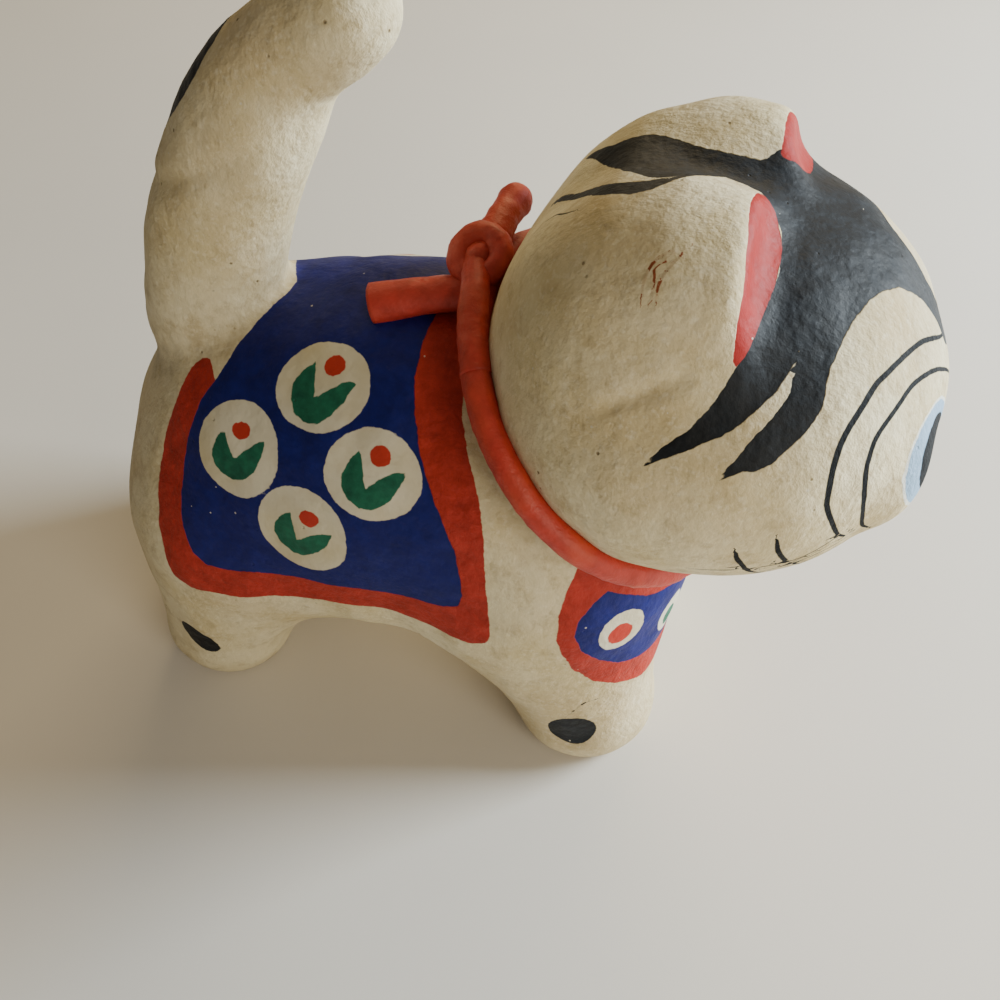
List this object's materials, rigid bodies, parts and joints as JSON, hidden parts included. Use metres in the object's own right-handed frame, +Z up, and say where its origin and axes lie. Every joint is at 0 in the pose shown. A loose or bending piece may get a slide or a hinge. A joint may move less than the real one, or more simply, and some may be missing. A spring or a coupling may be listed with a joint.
{
  "type": "papier-mache dog figure",
  "caption": "Hand-painted papier-mache dog standing on stub legs, with a round head, folded ears, an upright tail and a knotted red cord collar.",
  "frame": {"origin": "on the ground, under the middle of the figure's box", "axes": "+X towards the face, +Y to the dog's left, +Z up"},
  "size_m": [0.1272, 0.0656, 0.1281],
  "materials": {
    "painted_paper": "moulded paper with a chalky cream ground, hand-painted in red, blue, green and black",
    "painted_cord": "rolled paper cord, painted red"
  },
  "bodies": {
    "root": {"dog_figure": "painted_paper", "collar_cord": "painted_cord"}
  },
  "joints": []
}
